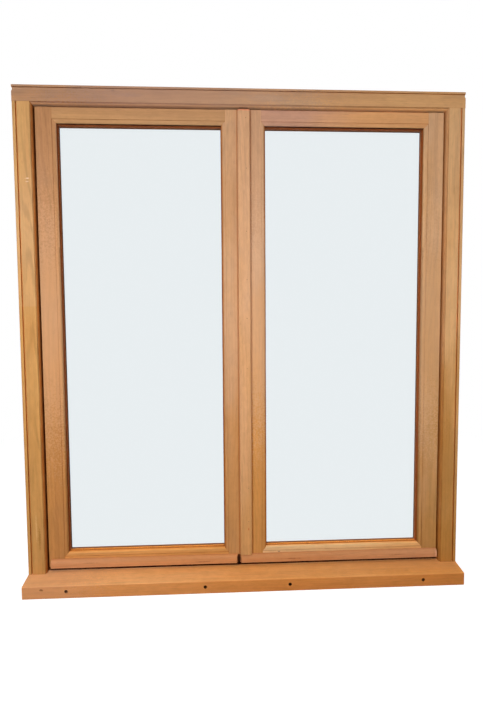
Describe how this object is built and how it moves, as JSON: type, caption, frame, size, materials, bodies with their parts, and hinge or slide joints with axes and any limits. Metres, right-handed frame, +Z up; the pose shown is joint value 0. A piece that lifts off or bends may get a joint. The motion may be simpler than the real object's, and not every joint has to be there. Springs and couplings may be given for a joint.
{
  "type": "timber casement window",
  "caption": "Hardwood casement window: side-hung double-glazed sashes with a lapped meeting joint and drip bars, in a rebated frame on a projecting weathered sill.",
  "frame": {"origin": "on the underside of the sill, under the outer face of the frame, at the middle of its width", "axes": "+X to the right seen from outside, +Y into the building, +Z up"},
  "size_m": [1.195, 0.1455, 1.3405],
  "materials": {
    "frame_hardwood": "clear satin varnish over straight-grained reddish-brown hardwood",
    "sash_hardwood": "clear satin varnish over straight-grained reddish-brown hardwood",
    "trim_hardwood": "clear satin varnish over straight-grained pinkish hardwood",
    "glass": "clear float glass",
    "spacer": "matt brown spacer bar"
  },
  "bodies": {
    "root": {"astragal": "trim_hardwood", "head": "frame_hardwood", "jamb_left": "frame_hardwood", "jamb_right": "frame_hardwood", "left_drip_bar": "trim_hardwood", "left_sash_bead_bottom": "sash_hardwood", "left_sash_bead_left": "sash_hardwood", "left_sash_bead_right": "sash_hardwood", "left_sash_bead_top": "sash_hardwood", "left_sash_pane_inner": "glass", "left_sash_pane_outer": "glass", "left_sash_rail_bottom": "sash_hardwood", "left_sash_rail_top": "sash_hardwood", "left_sash_spacer": "spacer", "left_sash_stile_left": "sash_hardwood", "left_sash_stile_right": "sash_hardwood", "right_drip_bar": "trim_hardwood", "right_sash_bead_bottom": "sash_hardwood", "right_sash_bead_left": "sash_hardwood", "right_sash_bead_right": "sash_hardwood", "right_sash_bead_top": "sash_hardwood", "right_sash_pane_inner": "glass", "right_sash_pane_outer": "glass", "right_sash_rail_bottom": "sash_hardwood", "right_sash_rail_top": "sash_hardwood", "right_sash_spacer": "spacer", "right_sash_stile_left": "sash_hardwood", "right_sash_stile_right": "sash_hardwood", "sill": "frame_hardwood"}
  },
  "joints": []
}
